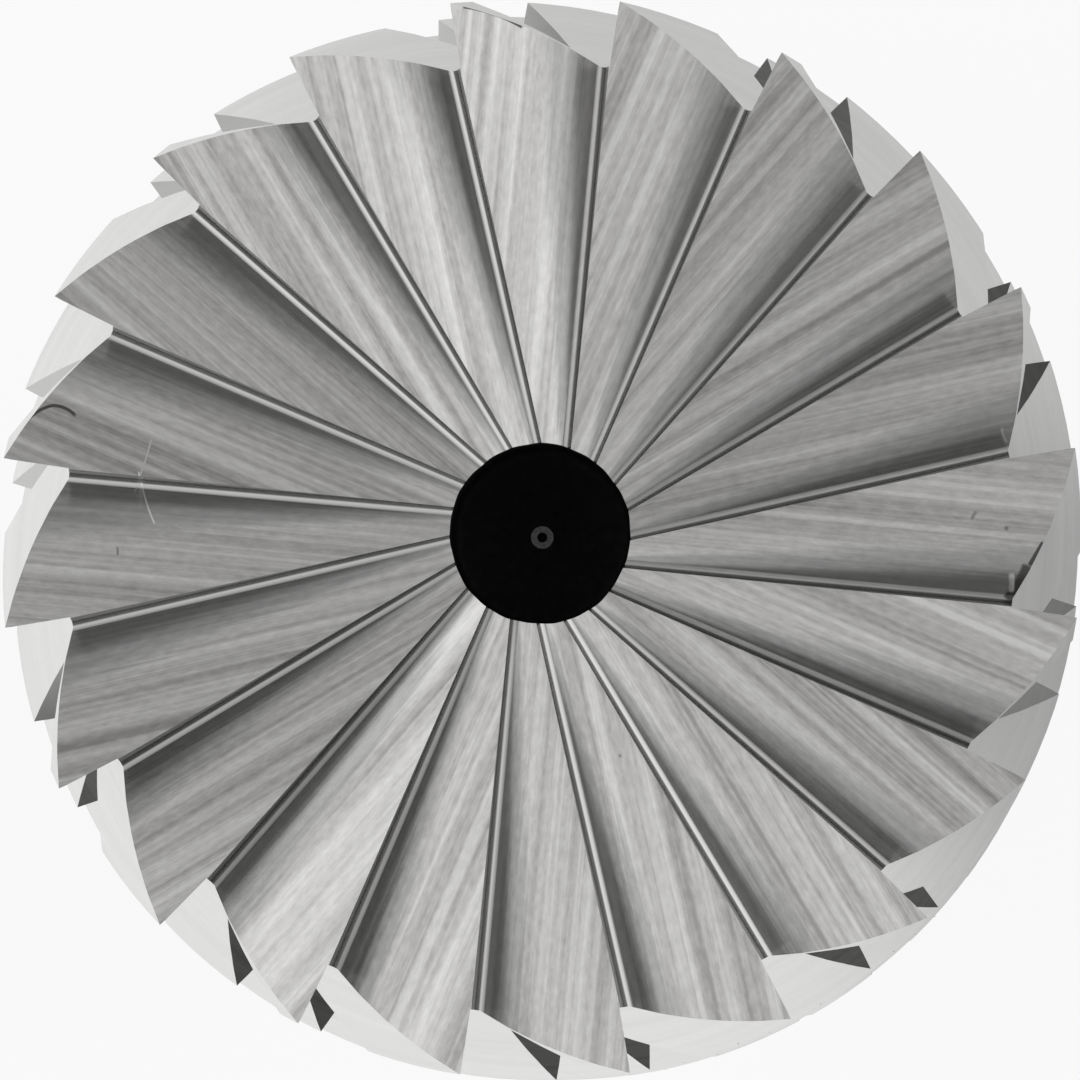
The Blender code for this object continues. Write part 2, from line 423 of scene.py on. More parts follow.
# How far apart in the noise two kinds of surface lie, and two teeth
KIND_STEP = 31.0
TOOTH_STEP = 7.3


def groove_frame(tooth):
    """Unit vectors across a groove and along it, seen from above."""
    bearing = GROOVE_BEARING + tooth * PITCH
    return from_axis(1.0, bearing + math.pi / 2), from_axis(1.0, bearing)


def in_groove(point, tooth):
    """A point's place in a groove: across from the root's corner, up from it, and along."""
    across, along = groove_frame(tooth)
    run = point.dot(along)
    root = HEAD_TOP - END_DEPTH - run * END_FALL
    return point.dot(across) - END_ROOT_OFFSET, point.z - root, run


def groove_normal(direction, tooth, fall=END_FALL):
    """The normal of a groove's side, from the normal of its section."""
    across, along = groove_frame(tooth)
    flat = across * direction[0] + Vector((0, 0, direction[1]))
    return (flat + along * fall * direction[1]).normalized()


LAND_NORMALS = [
    groove_normal((math.sin(END_LAND_ANGLE), math.cos(END_LAND_ANGLE)), t) for t in range(TEETH)
]
WALL_NORMALS = [
    groove_normal((-math.cos(END_WALL_LEAN), math.sin(END_WALL_LEAN)), t) for t in range(TEETH)
]


def above_land(point, tooth):
    across, up, _ = in_groove(point, tooth)
    return across * math.sin(END_LAND_ANGLE) + up * math.cos(END_LAND_ANGLE)


def beyond_wall(point, tooth):
    across, up, _ = in_groove(point, tooth)
    return across * math.cos(END_WALL_LEAN) - up * math.sin(END_WALL_LEAN)


def shaded_turn(turn):
    """How far the normal of a root fillet leans in the shading, from how far it leans in the shape."""
    first, last = SHADED_TURNS
    return first + (turn + END_LAND_ANGLE) * (last - first) / (ROOT_TURN + END_LAND_ANGLE)


def wrapped(angle):
    return (angle + math.pi) % (2 * math.pi) - math.pi


def unwound(point, twist):
    """A point's bearing as if the twist were taken out."""
    return bearing_of(point) - twist * (HEAD_TOP - point.z)


def twisted_normal(point, normal, middle, twist):
    """The smooth normal of a twisted face at a corner, from the flat face's own."""
    turn = twist * (middle.z - point.z)
    level = Vector((normal.x, normal.y, 0.0))
    level = (Matrix.Rotation(-turn, 3, "Z") @ level).normalized()
    rise = twist * level.dot(Vector((point.y, -point.x, 0.0)))
    return Vector((level.x, level.y, rise)).normalized()


def back_normal(point):
    """The smooth normal of a tooth's back, whose radius shrinks at a steady rate with its bearing."""
    outward = Vector((point.x, point.y, 0.0))
    radius = outward.length
    outward /= radius
    clockwise = Vector((outward.y, -outward.x, 0.0))
    fall = GULLET_DEPTH / (PITCH - GULLET_FLOOR)
    return (outward + clockwise * fall / radius + Vector((0, 0, fall * TWIST))).normalized()


def closest(normals, normal):
    best = max(range(len(normals)), key=lambda i: normals[i].dot(normal))
    return best, normals[best].dot(normal)


def hole_kind(middle, normal):
    """HOLE or PIP, where a face belongs to the hole."""
    depth = HEAD_TOP - middle.z
    from_hole = math.hypot(middle.x, middle.y - HOLE_OFFSET)
    if from_hole >= HOLE_DIAMETER / 2 + 2 * HOLE_WAVER or not 0.0 < depth < HOLE_REACH:
        return None
    if depth > HOLE_DEPTH - 2 * HOLE_FILLET:
        in_pip = PIP_BORE / 2 < from_hole < PIP_DIAMETER / 2
        return (PIP if in_pip else HOLE), 0
    inward = normal.x * middle.x + normal.y * (middle.y - HOLE_OFFSET) < 0.0
    if abs(normal.z) < UPRIGHT and inward:
        return HOLE, 0
    return None


def rear_kind(middle, normal):
    """REAR or CHAMFER, where a face belongs to the head's back end."""
    if middle.z < HEAD_BOTTOM + HAIR and normal.z < LOOKS_DOWN:
        return REAR, 0
    bevel = HEAD_RADIUS - REAR_CHAMFER + (middle.z - HEAD_BOTTOM)
    off_bevel = abs(math.hypot(middle.x, middle.y) - bevel)
    if normal.z < BEVEL_LOOKS_DOWN and off_bevel < ON_BEVEL:
        return CHAMFER, 0
    return None


def groove_kind(middle, normal):
    """LAND, WALL, ROOT or FILLET with its groove, where a face belongs to an end groove."""
    if HEAD_TOP - middle.z >= GROOVE_REACH:
        return None
    tooth, match = closest(LAND_NORMALS, normal)
    if match > SAME_PLANE and abs(above_land(middle, tooth)) < ON_PLANE:
        return LAND, tooth
    tooth, match = closest(WALL_NORMALS, normal)
    if match > SAME_PLANE and abs(beyond_wall(middle, tooth)) < ON_PLANE:
        return WALL, tooth
    for tooth in range(TEETH):
        across, up, run = in_groove(middle, tooth)
        away = math.hypot(across - FILLET_CENTRE.x, up - FILLET_CENTRE.y)
        if run >= 0 and abs(away - END_ROOT_RADIUS) < ON_FILLET:
            turn = math.atan2(-normal.dot(groove_frame(tooth)[0]), normal.z)
            return (ROOT if turn > ROOT_TURN else FILLET), tooth
    return None


def side_kind(middle, normal):
    """BACK or FACE with its tooth, or SHALLOW or STEEP with its breaker."""
    place = (unwound(middle, TWIST) - FIRST_TIP) / PITCH
    tooth = math.floor(place) % TEETH
    if back_normal(middle).dot(normal) > SAME_BACK:
        return BACK, tooth
    share = place - math.floor(place)
    if min(share, 1 - share) < ON_CUTTING_FACE:
        return FACE, round(place) % TEETH
    if math.hypot(middle.x, middle.y) < ROOT_RADIUS + ON_GULLET:
        return FACE, tooth
    place = (unwound(middle, BREAKER_TWIST) - BREAKER_BOTTOM) / (2 * PITCH)
    return (SHALLOW if round(place) > place else STEEP), round(place) % BREAKERS


def kind_of(middle, normal):
    """Which surface a face belongs to, and its tooth, groove or breaker."""
    return (
        hole_kind(middle, normal)
        or rear_kind(middle, normal)
        or groove_kind(middle, normal)
        or side_kind(middle, normal)
    )


def groove_look(kind, tooth, point, normal):
    """The look of a corner in an end groove."""
    across, up, run = in_groove(point, tooth)
    if kind == LAND:
        width = max(LEAST_LAND_WIDTH, run * math.tan(PITCH))
        tilt = END_LAND_ANGLE + END_LAND_CROWN * max(0.0, 1 + across / width)
        normal = groove_normal((math.sin(tilt), math.cos(tilt)), tooth, END_FALL * END_LAND_SAG)
    elif kind in (ROOT, FILLET):
        turn = math.atan2(across - FILLET_CENTRE.x, FILLET_CENTRE.y - up)
        turn = shaded_turn(turn) if kind == FILLET else max(turn, SHADED_ROOT)
        normal = groove_normal((-math.sin(turn), math.cos(turn)), tooth)
    return normal, (across + up, run)


def side_look(kind, tooth, point, normal, middle):
    """The look of a corner on a side tooth or in a breaker."""
    depth = HEAD_TOP - point.z
    radius = math.hypot(point.x, point.y)
    if kind in (BACK, FACE):
        twist, helix = TWIST, HELIX_ANGLE
        start = FIRST_TIP + (tooth + 0.5) * PITCH
    else:
        twist, helix = BREAKER_TWIST, BREAKER_HELIX
        start = BREAKER_BOTTOM + tooth * 2 * PITCH
    turn = wrapped(unwound(point, twist) - start)
    smooth = back_normal(point) if kind == BACK else twisted_normal(point, normal, middle, twist)
    return smooth, (HEAD_RADIUS * turn + radius, depth / math.cos(helix))


def corner_look(kind, tooth, point, normal, middle):
    """The smooth normal at a corner, and its place for the grinding lines: across and along them."""
    if kind in (LAND, WALL, ROOT, FILLET):
        return groove_look(kind, tooth, point, normal)
    if kind in (BACK, FACE, SHALLOW, STEEP):
        return side_look(kind, tooth, point, normal, middle)
    if kind == CHAMFER:
        outward = Vector((point.x, point.y, 0.0)).normalized()
        turn = wrapped(bearing_of(point) - bearing_of(middle)) + bearing_of(middle)
        radius = math.hypot(point.x, point.y)
        return (outward - Vector((0, 0, 1))).normalized(), (HEAD_TOP - point.z, radius * turn)
    if kind != REAR and abs(normal.z) < UPRIGHT:
        outward = Vector((point.x, point.y - HOLE_OFFSET, 0.0))
        return -outward.normalized(), (point.x, point.y)
    return normal, (point.x, point.y)


def scatter_of(kind, tooth, point, normal):
    """The direction across the grinding lines at a point, in which they spread the light."""
    clockwise = Vector((point.y, -point.x, 0.0))
    if kind in (LAND, WALL, ROOT, FILLET):
        direction = groove_frame(tooth)[1] - Vector((0, 0, END_FALL))
    elif kind in (BACK, FACE):
        direction = Vector((0, 0, -1)) + clockwise * TWIST
    elif kind in (SHALLOW, STEEP):
        direction = Vector((0, 0, -1)) + clockwise * BREAKER_TWIST
    else:
        # A trace of height, so that the direction is never nothing on the axis
        direction = clockwise + Vector((0, 0, 1e-6))
    return direction.cross(normal).normalized()


def dress_head(head, materials):
    """Gives the head its smooth normals, its materials and the coordinates of its grinding lines."""
    mesh = head.data
    mesh.materials.clear()
    for material in materials:
        mesh.materials.append(material)
    grind = mesh.attributes.new("grind", "FLOAT_VECTOR", "CORNER")
    scatter = mesh.attributes.new("scatter", "FLOAT_VECTOR", "CORNER")
    normals = [None] * len(mesh.loops)
    for polygon in mesh.polygons:
        polygon.use_smooth = True
        middle, normal = polygon.center, polygon.normal
        kind, tooth = kind_of(middle, normal)
        polygon.material_index = MATERIAL_OF.get(kind, SIDE_GRIND)
        layer = kind * KIND_STEP + tooth * TOOTH_STEP
        for loop in polygon.loop_indices:
            point = mesh.vertices[mesh.loops[loop].vertex_index].co
            smooth, (across, along) = corner_look(kind, tooth, point, normal, middle)
            normals[loop] = smooth
            grind.data[loop].vector = (across / MM, along / MM, layer)
            scatter.data[loop].vector = scatter_of(kind, tooth, point, smooth)
    mesh.normals_split_custom_set(normals)


# Nodes. A Mix node's sockets share their names, so they go by number.


# The limits between which most of a noise lies
NOISE_RANGE = (0.3, 0.7)


def new_material(name):
    material = bpy.data.materials.new(name)
    material.use_nodes = True
    tree = material.node_tree
    return material, tree, tree.nodes["Principled BSDF"]


def add(tree, kind, **settings):
    node = tree.nodes.new(kind)
    for name, value in settings.items():
        setattr(node, name, value)
    return node


def feed(tree, socket, value):
    """Gives a socket a number, a colour or what another node makes."""
    if isinstance(value, (int, float)):
        socket.default_value = value
    elif isinstance(value, tuple):
        socket.default_value = (*value, 1.0)
    else:
        tree.links.new(value, socket)


def object_place(tree):
    """The place on the object in metres, in the model's own frame."""
    return add(tree, "ShaderNodeTexCoord").outputs["Object"]


def separated(tree, vector):
    node = add(tree, "ShaderNodeSeparateXYZ")
    tree.links.new(vector, node.inputs[0])
    return node.outputs


def math_node(tree, operation, *values):
    node = add(tree, "ShaderNodeMath", operation=operation)
    for socket, value in zip(node.inputs, values):
        feed(tree, socket, value)
    return node.outputs[0]


def weighted(tree, total, *shares):
    """A total with further values added, each times its weight."""
    for value, weight in shares:
        total = math_node(tree, "MULTIPLY_ADD", value, weight, total)
    return total


def vector_node(tree, operation, vector, constant=None):
    node = add(tree, "ShaderNodeVectorMath", operation=operation)
    tree.links.new(vector, node.inputs[0])
    if constant is not None:
        node.inputs[1].default_value = constant
    gives_number = operation in ("DISTANCE", "DOT_PRODUCT", "LENGTH")
    return node.outputs["Value" if gives_number else "Vector"]


def spread(tree, value, limits, results=(0.0, 1.0), smooth=False):
    """A value between two limits taken over to between two results, and held at these beyond."""
    node = add(tree, "ShaderNodeMapRange")
    node.interpolation_type = "SMOOTHSTEP" if smooth else "LINEAR"
    tree.links.new(value, node.inputs["Value"])
    names = ("From Min", "From Max", "To Min", "To Max")
    for name, number in zip(names, (*limits, *results)):
        node.inputs[name].default_value = number
    return node.outputs["Result"]


def noise(tree, place, waves, detail=2.0, roughness=0.5):
    """Noise with so many waves to each unit of the place, in each of its three directions."""
    node = add(tree, "ShaderNodeTexNoise")
    tree.links.new(vector_node(tree, "MULTIPLY", place, waves), node.inputs["Vector"])
    node.inputs["Scale"].default_value = 1.0
    node.inputs["Detail"].default_value = detail
    node.inputs["Roughness"].default_value = roughness
    return node.outputs["Fac"]


def mixed_colour(tree, share, first, second):
    node = add(tree, "ShaderNodeMix", data_type="RGBA")
    tree.links.new(share, node.inputs[0])
    feed(tree, node.inputs[6], first)
    feed(tree, node.inputs[7], second)
    return node.outputs[2]


def mixed_value(tree, share, first, second):
    node = add(tree, "ShaderNodeMix", data_type="FLOAT")
    tree.links.new(share, node.inputs[0])
    feed(tree, node.inputs[2], first)
    feed(tree, node.inputs[3], second)
    return node.outputs[0]


def bump(tree, height, distance):
    node = add(tree, "ShaderNodeBump")
    node.inputs["Strength"].default_value = 1.0
    node.inputs["Distance"].default_value = distance
    tree.links.new(height, node.inputs["Height"])
    return node.outputs["Normal"]


def set_finish(tree, shader, colour, rough, metallic=1.0):
    tree.links.new(colour, shader.inputs["Base Color"])
    tree.links.new(rough, shader.inputs["Roughness"])
    shader.inputs["Metallic"].default_value = metallic


# Marks on the end teeth


def arc_through(start, middle, end):
    """The centre and radius of the circle through three points."""
    a, b, c = Vector(start), Vector(middle), Vector(end)
    double = 2 * (a.x * (b.y - c.y) + b.x * (c.y - a.y) + c.x * (a.y - b.y))
    squares = (a.length_squared, b.length_squared, c.length_squared)
    x = (squares[0] * (b.y - c.y) + squares[1] * (c.y - a.y) + squares[2] * (a.y - b.y)) / double
    y = (squares[0] * (c.x - b.x) + squares[1] * (a.x - c.x) + squares[2] * (b.x - a.x)) / double
    return (x, y), (a - Vector((x, y))).length


# How far a mark runs on past its ends, over what length it fades there, both in mm, and between
# which shares of its width its edges fade
MARK_OVERRUN = 0.02
MARK_FADE = 0.04
MARK_EDGE = (0.35, 0.65)


def mark(tint, start, middle, end, width):
    """A thin curved mark: its tint, the arc through three points and its width, in mm."""
    centre, radius = arc_through(start, middle, end)
    reach = max((Vector(start) - Vector(middle)).length, (Vector(end) - Vector(middle)).length)
    return tint, centre, radius, middle, reach + MARK_OVERRUN, width


# The lint in the photograph: a dark fibre at the left rim, and a pale one that crosses a groove
LINT = (
    mark((0.085, 0.083, 0.08), (-5.718, 1.248), (-5.585, 1.388), (-5.404, 1.470), 0.036),
    mark((0.085, 0.083, 0.08), (-5.404, 1.470), (-5.270, 1.445), (-5.146, 1.359), 0.036),
    mark((0.64, 0.636, 0.624), (-4.27, 0.163), (-4.375, 0.44), (-4.43, 0.672), 0.020),
    mark((0.50, 0.496, 0.485), (-4.43, 0.672), (-4.385, 0.80), (-4.304, 1.093), 0.018),
)
# Small marks. At the right a ragged dark edge in two stretches, a pale bar beside it, a small pale
# arc, a dot, a faint line and a tick; at the left a dash; at the top a dark edge.
SMALL_MARKS = (
    mark((0.08, 0.078, 0.075), (5.556, -0.059), (5.488, -0.172), (5.412, -0.301), 0.046),
    mark((0.09, 0.088, 0.085), (5.400, -0.301), (5.304, -0.502), (5.200, -0.650), 0.130),
    mark((0.66, 0.655, 0.645), (5.213, -0.394), (5.218, -0.490), (5.210, -0.590), 0.060),
    mark((0.50, 0.496, 0.49), (5.113, 1.213), (5.125, 1.136), (5.163, 1.070), 0.032),
    mark((0.16, 0.158, 0.154), (5.140, 0.098), (5.160, 0.110), (5.180, 0.098), 0.055),
    mark((0.36, 0.356, 0.35), (5.200, 0.090), (5.360, 0.078), (5.540, 0.070), 0.050),
    mark((0.24, 0.236, 0.23), (4.824, 0.292), (4.794, 0.250), (4.772, 0.200), 0.036),
    mark((0.26, 0.256, 0.25), (-4.684, -0.100), (-4.676, -0.145), (-4.680, -0.190), 0.026),
    mark((0.08, 0.078, 0.075), (-0.832, 5.880), (-0.512, 5.806), (-0.199, 5.664), 0.045),
)
MARKS = LINT + SMALL_MARKS


def painted_marks(tree, inside, colour, marks):
    """Thin curved marks: each near its circle's line, and no farther than its reach from its middle."""
    for tint, centre, radius, middle, reach, width in marks:
        level = vector_node(tree, "MULTIPLY", inside, (1 / MM, 1 / MM, 0.0))
        from_centre = vector_node(tree, "DISTANCE", level, (*centre, 0.0))
        from_middle = vector_node(tree, "DISTANCE", level, (*middle, 0.0))
        off = math_node(tree, "SUBTRACT", from_centre, radius)
        off = math_node(tree, "ABSOLUTE", off)
        edge = [width * share for share in MARK_EDGE]
        line = spread(tree, off, edge, (1.0, 0.0), smooth=True)
        end = spread(tree, from_middle, (reach - MARK_FADE, reach), (1.0, 0.0), smooth=True)
        here = math_node(tree, "MULTIPLY", line, end)
        colour = mixed_colour(tree, here, colour, tint)
    return colour


# Ground carbide. The waves of the grinding lines are counted across them in each mm, along them in
# each mm, and from one surface of the head to the next.
FINE_WAVES = (48.0, 0.05, 1.0)
LINE_WAVES = (21.0, 0.045, 1.0)
CROSSED_WAVES = (30.0, 0.16, 1.0)
BAND_WAVES = (7.5, 0.06, 1.0)
GRAIN_WAVES = (28.0, 6.5, 1.0)
CROSSED_TURN = 0.5 * DEGREE
CRISP_LIMITS = (0.37, 0.63)
MIDDLE_TONE = 0.69
ROUGHNESS_CHANGE = 0.04
GRIND_HEIGHT = 0.0004 * MM

# The painted shade in a strip beside each root on a land, by the slope across over along, and the
# painted shade on the side of a root next to its wall, by the place across in mm
ROOT_SHADE_TINT = (0.040, 0.045, 0.050)
ROOT_SHADE_LIMITS = (-0.014, 0.019)
WALL_SIDE_SHADE_TINT = (0.08, 0.08, 0.08)
WALL_SIDE_SHADE_LIMITS = (-0.014, 0.014)

# Where the steep flanks of the breakers and the roots of the end grooves catch the light: a tint,
# and for each stretch its bearing in degrees, the cosines off it between which the light grows,
# and how strong the light is
LIT_BREAKERS = ((0.60, 0.596, 0.59), ((308, (0.44, 0.81), 1.0), (102, (0.96, 1.0), 0.5)))
LIT_ROOTS = ((0.56, 0.557, 0.55), ((168, (0.83, 0.95), 1.0), (294, (0.30, 0.60), 0.9)))

# Pits: how many cells there are in each metre, which cells have one, and how large it is in a cell
PIT_CELLS = 900.0
PIT_CHOICE = (0.80, 0.82)
PIT_EDGE = (0.018, 0.034)
PIT_TINT = (0.12, 0.116, 0.112)


def lit_stretches(tree, inside, colour, tint, stretches):
    """Pale stretches round the head, each about its own bearing."""
    outward = vector_node(tree, "MULTIPLY", inside, (1.0, 1.0, 0.0))
    outward = vector_node(tree, "NORMALIZE", outward)
    for bearing, limits, strength in stretches:
        towards = vector_node(tree, "DOT_PRODUCT", outward, from_axis(1.0, bearing * DEGREE))
        pale = spread(tree, towards, limits, (0.0, strength), smooth=True)
        colour = mixed_colour(tree, pale, colour, tint)
    return colour


def painted_root_shade(tree, place, bands, lines, colour, strength):
    """Painted shade in the strip of a land beside its root, with an edge that follows the grinding
    lines.
    """
    across, along, _ = separated(tree, place)
    slope = math_node(tree, "DIVIDE", across, along)
    slope = weighted(tree, slope, (bands, 0.06), (lines, 0.10))
    near_root = spread(tree, slope, ROOT_SHADE_LIMITS, (0.0, strength), smooth=True)
    return mixed_colour(tree, near_root, colour, ROOT_SHADE_TINT)


def painted_wall_side_shade(tree, place, colour, strength):
    """Painted shade on the side of a root that turns up to the wall."""
    across = separated(tree, place)["X"]
    near_wall = spread(tree, across, WALL_SIDE_SHADE_LIMITS, (0.0, strength), smooth=True)
    return mixed_colour(tree, near_wall, colour, WALL_SIDE_SHADE_TINT)


def pits(tree, inside):
    cells = add(tree, "ShaderNodeTexVoronoi")
    cells.inputs["Scale"].default_value = PIT_CELLS
    tree.links.new(inside, cells.inputs["Vector"])
    chosen = spread(tree, cells.outputs["Color"], PIT_CHOICE)
    near = spread(tree, cells.outputs["Distance"], PIT_EDGE, (1.0, 0.0), smooth=True)
    return math_node(tree, "MULTIPLY", chosen, near)


def ground_carbide(
    name,
    dark,
    light,
    contrast=0.25,
    roughness=0.22,
    spread_across=0.70,
    strip=0.0,
    lit=None,
    wall_side=0.0,
    marks=(),
):
    """Ground carbide: fine straight lines in wider bands, with a few pits and painted light and dark."""
    material, tree, shader = new_material(name)
    place = add(tree, "ShaderNodeAttribute", attribute_name="grind").outputs["Vector"]
    scatter = add(tree, "ShaderNodeAttribute", attribute_name="scatter").outputs["Vector"]
    inside = object_place(tree)
    slant = add(tree, "ShaderNodeVectorRotate", rotation_type="Z_AXIS")
    tree.links.new(place, slant.inputs["Vector"])
    slant.inputs["Angle"].default_value = CROSSED_TURN
    fine = noise(tree, place, FINE_WAVES, detail=1.0)
    lines = noise(tree, place, LINE_WAVES, roughness=0.6)
    crossed = noise(tree, slant.outputs["Vector"], CROSSED_WAVES, detail=1.0)
    bands = noise(tree, place, BAND_WAVES, detail=1.0)
    grain = noise(tree, place, GRAIN_WAVES, roughness=0.6)
    crisp = spread(tree, lines, CRISP_LIMITS)
    tone = math_node(tree, "MULTIPLY", fine, 0.08)
    tone = weighted(tree, tone, (crisp, 0.17), (crossed, 0.18), (bands, 0.68), (grain, 0.28))
    share = spread(tree, tone, (MIDDLE_TONE - contrast, MIDDLE_TONE + contrast))
    colour = mixed_colour(tree, share, dark, light)
    # Painted shade in a strip of each land beside its root
    if strip:
        colour = painted_root_shade(tree, place, bands, lines, colour, strip)
    if lit:
        colour = lit_stretches(tree, inside, colour, *lit)
    # Painted shade on the side of a root next to its wall
    if wall_side:
        colour = painted_wall_side_shade(tree, place, colour, wall_side)
    colour = painted_marks(tree, inside, colour, marks)
    pitted = pits(tree, inside)
    colour = mixed_colour(tree, pitted, colour, PIT_TINT)
    rough = (roughness - ROUGHNESS_CHANGE, roughness + ROUGHNESS_CHANGE)
    set_finish(tree, shader, colour, spread(tree, lines, NOISE_RANGE, rough))
    shader.inputs["Anisotropic"].default_value = spread_across
    tree.links.new(scatter, shader.inputs["Tangent"])
    height = weighted(tree, fine, (lines, 2.2), (pitted, -3.0))
    tree.links.new(bump(tree, height, GRIND_HEIGHT), shader.inputs["Normal"])
    return material


def end_carbide():
    """The lands of the end teeth, with painted shade in a strip beside each root."""
    dark, light = (0.26, 0.256, 0.25), (0.66, 0.656, 0.647)
    return ground_carbide("carbide_end", dark, light, strip=0.38, marks=MARKS)


def root_carbide():
    """The bright part of the root fillets, with painted light in stretches round the head and painted
    shade on the side next to the wall.
    """
    dark, light = (0.24, 0.237, 0.232), (0.45, 0.447, 0.44)
    return ground_carbide("carbide_root", dark, light, lit=LIT_ROOTS, wall_side=0.8, marks=MARKS)


def shaded_wall_carbide():
    """The walls of the end grooves, and the steep part of the root fillets: carbide darker than the
    lands, as painted shade.
    """
    dark, light = (0.27, 0.268, 0.264), (0.42, 0.416, 0.41)
    return ground_carbide("carbide_wall", dark, light, roughness=0.24, spread_across=0.60, marks=MARKS)


def side_carbide():
    """The side teeth, the shallow flanks of the breakers and the back of the head."""
    dark, light = (0.60, 0.596, 0.59), (0.77, 0.766, 0.76)
    return ground_carbide("carbide_side", dark, light, contrast=0.36, spread_across=0.40)


def shaded_breaker_carbide():
    """The steep flanks of the breakers: carbide darkened nearly to black as painted shade, with painted
    light in two stretches round the head.
    """
    dark, light = (0.03, 0.029, 0.028), (0.12, 0.118, 0.114)
    return ground_carbide(
        "carbide_breaker",
        dark,
        light,
        contrast=0.40,
        roughness=0.38,
        spread_across=0.40,
        lit=LIT_BREAKERS,
    )


# The other materials. The waves of their noise are counted in each metre.


def shaded_sintered_carbide():
    """The hole as pressed: dull carbide, darkened nearly to black as painted shade in the hole."""
    material, tree, shader = new_material("tungsten_carbide_sintered")
    inside = object_place(tree)
    grain = noise(tree, inside, (9000.0, 9000.0, 9000.0), detail=4.0, roughness=0.65)
    cloud = noise(tree, inside, (1500.0, 1500.0, 900.0), detail=3.0)
    share = spread(tree, math_node(tree, "MULTIPLY", grain, cloud), (0.12, 0.40))
    colour = mixed_colour(tree, share, (0.0035, 0.0035, 0.0035), (0.0085, 0.0083, 0.008))
    set_finish(tree, shader, colour, spread(tree, grain, NOISE_RANGE, (0.55, 0.85)), metallic=0.0)
    shader.inputs["Specular IOR Level"].default_value = 0.25
    tree.links.new(bump(tree, grain, 0.004 * MM), shader.inputs["Normal"])
    return material


def pressed_pip():
    """The small ring that the pressing pin left in the floor of the hole, a little brighter."""
    material, tree, shader = new_material("tungsten_carbide_pip")
    grain = noise(tree, object_place(tree), (30000.0, 30000.0, 30000.0), detail=3.0, roughness=0.6)
    share = spread(tree, grain, NOISE_RANGE)
    colour = mixed_colour(tree, share, (0.10, 0.10, 0.10), (0.22, 0.22, 0.22))
    set_finish(tree, shader, colour, spread(tree, grain, NOISE_RANGE, (0.30, 0.42)))
    return material


def ground_steel():
    """Centreless ground steel: fine rings round the shank, a little dulled near the joint."""
    material, tree, shader = new_material("shank_steel_ground")
    inside = object_place(tree)
    fine = noise(tree, inside, (260.0, 260.0, 30000.0), roughness=0.6)
    rings = noise(tree, inside, (120.0, 120.0, 5200.0), detail=3.0, roughness=0.6)
    cloud = noise(tree, inside, (260.0, 260.0, 120.0), detail=3.0)
    tone = math_node(tree, "MULTIPLY", fine, 0.35)
    tone = weighted(tree, tone, (rings, 0.45), (cloud, 0.25))
    share = spread(tree, tone, (0.38, 0.68))
    colour = mixed_colour(tree, share, (0.42, 0.42, 0.416), (0.66, 0.66, 0.652))
    waver = weighted(tree, separated(tree, inside)["Z"], (cloud, 1.6 * MM))
    dulled = (SHANK_TOP - 1.8 * MM, SHANK_TOP + 1.4 * MM)
    heat = spread(tree, waver, dulled, (0.0, 0.75), smooth=True)
    colour = mixed_colour(tree, heat, colour, (0.36, 0.31, 0.25))
    set_finish(tree, shader, colour, spread(tree, rings, NOISE_RANGE, (0.15, 0.27)))
    height = weighted(tree, fine, (rings, 3.0))
    tree.links.new(bump(tree, height, 0.0003 * MM), shader.inputs["Normal"])
    return material


def silver_braze():
    """Silver solder: pale brassy metal, softly uneven, with a little dull flux."""
    material, tree, shader = new_material("silver_braze_fillet")
    inside = object_place(tree)
    cloud = noise(tree, inside, (1500.0, 1500.0, 2600.0), detail=4.0, roughness=0.55)
    grain = noise(tree, inside, (9000.0, 9000.0, 9000.0), detail=3.0, roughness=0.6)
    share = spread(tree, cloud, (0.35, 0.68))
    colour = mixed_colour(tree, share, (0.38, 0.30, 0.17), (0.70, 0.61, 0.40))
    set_finish(tree, shader, colour, spread(tree, cloud, (0.35, 0.68), (0.48, 0.26)))
    height = weighted(tree, grain, (cloud, 4.0))
    tree.links.new(bump(tree, height, 0.003 * MM), shader.inputs["Normal"])
    return material


# The light tent: pale all round, with soft boxes at the right, the upper left, the left, the bottom
# and the lower right of the picture, and a dark opening for the camera straight above. A box is its
# bearing, its angle from straight above, the half angles of its even middle and of its soft edge,
# all in degrees, and its strength.
TENT_CEILING = 0.67
TENT_BOXES = (
    (75, 46, 8, 29, 0.72),
    (297, 46, 8, 22, 0.70),
    (250, 50, 10, 26, 0.66),
    (200, 50, 5, 26, 0.26),
    (127, 46, 5, 20, 0.12),
)
TENT_OPENING = 0.21
OPENING_EDGE = (31 * DEGREE, 15 * DEGREE)
# Dark flags at the level of the horizon, which the metal alone mirrors, and where their part of the
# tent begins, as angles from straight above
TENT_FLAGS = ((20, 88, 9, 28, 0.60), (150, 88, 12, 34, 0.58), (262, 88, 6, 24, 0.60))
HORIZON_EDGE = (70 * DEGREE, 54 * DEGREE)

# The floor's reach from the axis, its level, and its own glow, which keeps it light
FLOOR_REACH = 6.0
FLOOR_LEVEL = -0.02 * MM
FLOOR_GLOW = 0.82
# What the metal mirrors of the floor, painted into its glow: painted shade that dims it from left to
# right, a painted shadow in a spot, and the flags, level with the floor, with the distances from the
# axis between which they come in
FLOOR_SLANT = 0.35
FLOOR_DIMMING = (-20 * MM, 30 * MM)
FLOOR_GREYEST = 0.66
SHADOW_SPOT_PLACE = from_axis(32 * MM, 124 * DEGREE)
SHADOW_SPOT_EDGE = (8 * MM, 26 * MM)
SHADOW_SPOT_DARKNESS = 0.30
FLAG_START = (60 * MM, 130 * MM)
FLAG_ON_FLOOR = 90


def patch(tree, direction, place):
    """A soft round patch of a box or a flag, with its full strength in its middle."""
    bearing, from_top, inner, outer, strength = place
    tilt = from_top * DEGREE
    middle = from_axis(math.sin(tilt), bearing * DEGREE, math.cos(tilt))
    facing = vector_node(tree, "DOT_PRODUCT", direction, middle)
    limits = (math.cos(outer * DEGREE), math.cos(inner * DEGREE))
    return spread(tree, facing, limits, (0.0, strength), smooth=True)


